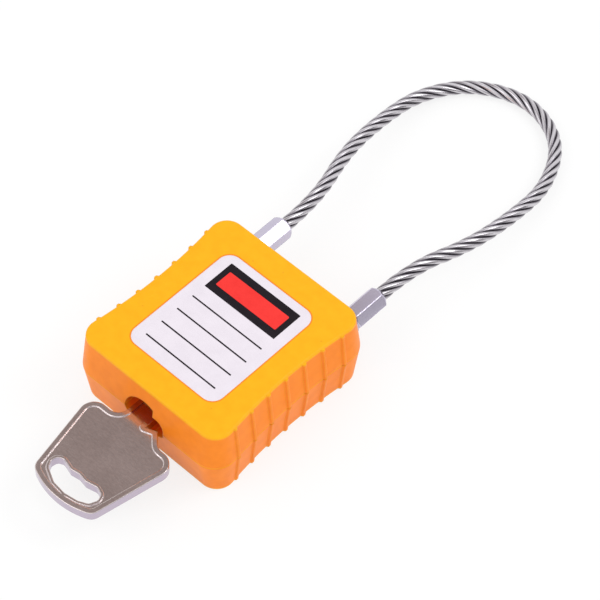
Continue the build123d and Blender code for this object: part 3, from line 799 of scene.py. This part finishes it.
# %% Paint the metal pieces
paint(plated_stud, "heel_stud", "toe_stud")
paint(nickel_key, "key")
paint(machined_brass, "cylinder_housing", "cylinder_plug", "key_pins", "driver_pins",
      "chamber_cover", "locking_cam")
paint(cast_zinc, "lock_frame", "cam_plate")
paint(ground_steel, "dowel_pins", "frame_screws", "left_locking_ball", "right_locking_ball",
      "plug_clip", "pin_springs", "shackle_spring")
print("painted the metals")

# %% [markdown]
# ## The studio
#
# Small products are lit by a pale room, with one soft lamp behind them and a larger,
# softer one in front. The white background is the world as the camera and the reflections
# see it. The floor is plain and pale, is seen a little whiter than it is lit, and keeps
# the soft shadow. More light would whiten it too, but would wash out the object. Metal
# looks like metal only if some of what it mirrors is dark, so three cards stand round the
# table: a brown one over the key, a dark one to the right, and a grey one beyond the short
# stud. They are seen only in reflections.

# %% The white room
ROOM_LIGHT = 0.86            # how strongly the white room lights the object


def seen_straight(tree):
    """1 for rays of the camera, a reflection or glass, and 0 for the light on things."""
    path = add_node(tree, "ShaderNodeLightPath")
    return math_node(tree, "MAXIMUM", path.outputs["Is Camera Ray"],
                     math_node(tree, "MAXIMUM", path.outputs["Is Glossy Ray"],
                               path.outputs["Is Transmission Ray"]))


def white_world():
    """White for the camera and in reflections, and softer light on the object."""
    world = bpy.data.worlds.new("white_room")
    world.use_nodes = True
    bpy.context.scene.world = world
    tree = world.node_tree
    strength = map_range(tree, seen_straight(tree), 0.0, 1.0, ROOM_LIGHT, 1.0)
    background = tree.nodes["Background"]
    background.inputs["Color"].default_value = (1.0, 1.0, 1.0, 1.0)
    tree.links.new(strength, background.inputs["Strength"])


bpy.context.scene.view_settings.view_transform = "Standard"
white_world()
print("the room is white")

# %% The floor
FLOOR_WIDTH = 3.0
FLOOR_DROP = 0.02 * MM       # how far the table top lies under the padlock
FLOOR_WHITENING = 0.78       # the table is seen this much nearer to white


def flat_sheet(name, width, tall, rise=0.0):
    """A plain rectangle in the scene, flat round its own middle."""
    mesh = bmesh.new()
    corners = [mesh.verts.new((x * width / 2, y * tall / 2, rise))
               for x, y in ((-1, -1), (1, -1), (1, 1), (-1, 1))]
    mesh.faces.new(corners)
    data = bpy.data.meshes.new(name)
    mesh.to_mesh(data)
    mesh.free()
    sheet = bpy.data.objects.new(name, data)
    bpy.context.scene.collection.objects.link(sheet)
    return sheet


def pale_floor():
    """A plain pale table top."""
    floor = flat_sheet("floor", FLOOR_WIDTH, FLOOR_WIDTH, -FLOOR_DROP)
    material, shader = new_material("pale_table", Roughness=0.9, Specular_IOR_Level=0.0,
                                    Base_Color=rgb(0.98, 0.98, 0.98))
    tree = material.node_tree
    glow = add_node(tree, "ShaderNodeEmission", {"Strength": 1.0})
    share = math_node(tree, "MULTIPLY", seen_straight(tree), FLOOR_WHITENING)
    whiter = add_node(tree, "ShaderNodeMixShader",
                      {0: share, 1: shader.outputs[0], 2: glow.outputs[0]})
    tree.links.new(whiter.outputs[0], tree.nodes["Material Output"].inputs["Surface"])
    floor.data.materials.append(material)


pale_floor()
print("the floor is", FLOOR_WIDTH, "m wide")

# %% Lamps and cards
SCENE_MIDDLE = Vector((0.0, 15.0, 8.0)) * MM


def stand_at(thing, around, height, distance, aim=SCENE_MIDDLE):
    """Stand a lamp or a card in a direction from the padlock, facing it."""
    way = direction(around, height)
    thing.location = aim + way * distance
    thing.rotation_euler = way.to_track_quat("Z", "Y").to_euler()


def soft_lamp(name, around, height, distance, size, watts):
    """A square soft lamp."""
    data = bpy.data.lights.new(name, "AREA")
    data.size = size
    data.energy = watts
    lamp = bpy.data.objects.new(name, data)
    bpy.context.scene.collection.objects.link(lamp)
    stand_at(lamp, around, height, distance)


def card(name, around, height, distance, width, tall, colour, aim=SCENE_MIDDLE):
    """A plain card that only reflections see."""
    sheet = flat_sheet(name, width, tall)
    stand_at(sheet, around, height, distance, aim)
    material = bpy.data.materials.new(name)
    material.use_nodes = True
    tree = material.node_tree
    tree.nodes.remove(tree.nodes["Principled BSDF"])
    glow = add_node(tree, "ShaderNodeEmission", {"Color": colour, "Strength": 1.0})
    tree.links.new(glow.outputs[0], tree.nodes["Material Output"].inputs["Surface"])
    sheet.data.materials.append(material)
    sheet.visible_camera = False
    sheet.visible_diffuse = False
    sheet.visible_shadow = False


soft_lamp("back_lamp", 132.0, 49.0, distance=0.7, size=0.34, watts=1.1)
soft_lamp("front_lamp", -20.0, 40.0, distance=0.8, size=0.5, watts=1.1)
KEY_MIDDLE = Vector((1.2, -38.0, 10.5)) * MM
TOE_MIDDLE = Vector((13.75, 30.0, 11.5)) * MM
card("brown_card", 222.4, 53.2, distance=0.26, width=0.13, tall=0.13,
     colour=rgb(0.41, 0.35, 0.33), aim=KEY_MIDDLE)
card("right_card", 96.0, 20.0, distance=0.6, width=1.0, tall=0.38,
     colour=rgb(0.10, 0.09, 0.11))
card("far_card", 116.0, 8.0, distance=0.13, width=0.10, tall=0.12,
     colour=rgb(0.40, 0.39, 0.39), aim=TOE_MIDDLE)
print("lamps and cards are up")
